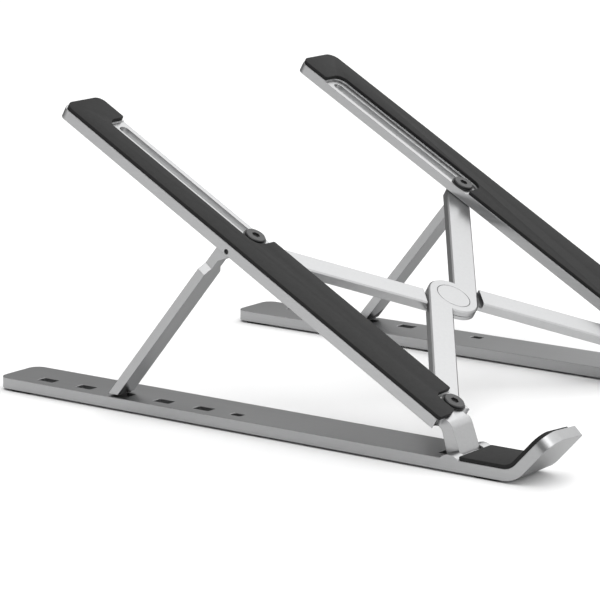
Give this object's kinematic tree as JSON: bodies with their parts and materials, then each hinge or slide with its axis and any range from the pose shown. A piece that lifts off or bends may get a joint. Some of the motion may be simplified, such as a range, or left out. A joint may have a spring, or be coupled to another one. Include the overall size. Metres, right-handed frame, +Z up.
{
  "type": "laptop stand",
  "caption": "Folding aluminium laptop stand: hooked base rails, padded arms tilted up on props, and a crossed-bar scissor between them.",
  "frame": {"origin": "centre of the footprint, on the desk under the feet", "axes": "+X across the stand to the right rail, +Y along the rails to their raised back end, +Z up"},
  "size_m": [0.1748, 0.2535, 0.1157],
  "materials": {
    "rail_metal": "bead-blasted silver anodising",
    "arm_metal": "bead-blasted silver anodising",
    "prop_metal": "brushed and anodised",
    "bar_metal": "bead-blasted silver anodising",
    "cap_metal": "turned and anodised",
    "pin_steel": "ground",
    "screw_black": "black oxide, satin",
    "washer_black": "black oxide, satin",
    "pad_rubber": "matt silicone sheet",
    "foot_rubber": "matt silicone",
    "tip_rubber": "matt silicone",
    "bush_plastic": "natural nylon",
    "washer_plastic": "black acetal"
  },
  "bodies": {
    "left_rail": {"left_base_rail": "rail_metal", "left_rail_pad": "pad_rubber", "left_back_foot": "foot_rubber", "left_front_foot": "foot_rubber", "left_hinge_pin": "pin_steel"},
    "left_arm": {"left_support_arm": "arm_metal", "left_arm_pad": "pad_rubber", "left_pivot_bush": "bush_plastic", "left_prop_pin": "screw_black"},
    "left_prop_set": {"left_prop": "prop_metal", "left_prop_tip": "tip_rubber"},
    "right_rail": {"right_base_rail": "rail_metal", "right_rail_pad": "pad_rubber", "right_back_foot": "foot_rubber", "right_front_foot": "foot_rubber", "right_hinge_pin": "pin_steel"},
    "right_arm": {"right_support_arm": "arm_metal", "right_arm_pad": "pad_rubber", "right_pivot_bush": "bush_plastic", "right_prop_pin": "screw_black"},
    "right_prop_set": {"right_prop": "prop_metal", "right_prop_tip": "tip_rubber"},
    "upper_bar": {"upper_cross_bar": "bar_metal", "hub_cap": "cap_metal", "hub_rivet": "pin_steel", "left_pivot_screw": "screw_black", "left_pivot_head_washer": "washer_black", "left_pivot_thrust_washer": "washer_plastic", "right_slide_screw": "screw_black", "right_slide_head_washer": "washer_black", "right_slide_thrust_washer": "washer_plastic", "right_slide_bush": "bush_plastic"},
    "lower_bar": {"lower_cross_bar": "bar_metal", "hub_lap_washer": "washer_plastic", "right_pivot_screw": "screw_black", "right_pivot_head_washer": "washer_black", "right_pivot_thrust_washer": "washer_plastic", "left_slide_screw": "screw_black", "left_slide_head_washer": "washer_black", "left_slide_thrust_washer": "washer_plastic", "left_slide_bush": "bush_plastic"}
  },
  "joints": [
    {"name": "arm_tilt", "type": "hinge", "parent": "left_rail", "child": "left_arm", "pos_m": [-0.07635, -0.08415, 0.00345], "axis": [1, 0, 0], "range_deg": [0, 46]},
    {"name": "left_prop_fold", "type": "hinge", "parent": "left_arm", "child": "left_prop_set", "pos_m": [-0.08105, 0.01538, 0.06762], "axis": [1, 0, 0], "range_deg": [-94.3, 0]},
    {"name": "scissor_fold", "type": "hinge", "parent": "left_arm", "child": "upper_bar", "pos_m": [-0.06925, -0.07186, 0.01689], "axis": [0, -0.4894, 0.8721], "range_deg": [0, 50]},
    {"name": "hub_turn", "type": "hinge", "parent": "upper_bar", "child": "lower_bar", "pos_m": [0, -0.02742, 0.04182], "axis": [0, -0.4894, 0.8721], "range_deg": [-100, 0]},
    {"name": "right_arm_pivot", "type": "hinge", "parent": "lower_bar", "child": "right_arm", "pos_m": [0.06925, -0.07186, 0.01689], "axis": [0, -0.4894, 0.8721], "range_deg": [0, 50]},
    {"name": "right_rail_hinge", "type": "hinge", "parent": "right_arm", "child": "right_rail", "pos_m": [0.07635, -0.08415, 0.00345], "axis": [1, 0, 0], "range_deg": [-46, 0]},
    {"name": "right_prop_fold", "type": "hinge", "parent": "right_arm", "child": "right_prop_set", "pos_m": [0.08105, 0.01538, 0.06762], "axis": [1, 0, 0], "range_deg": [-94.3, 0]}
  ],
  "couplings": [
    {"joint": "left_prop_fold", "follows": "arm_tilt", "ratio": -2.05},
    {"joint": "right_prop_fold", "follows": "arm_tilt", "ratio": -2.05},
    {"joint": "right_rail_hinge", "follows": "arm_tilt", "ratio": -1},
    {"joint": "hub_turn", "follows": "scissor_fold", "ratio": -2},
    {"joint": "right_arm_pivot", "follows": "scissor_fold", "ratio": 1}
  ]
}
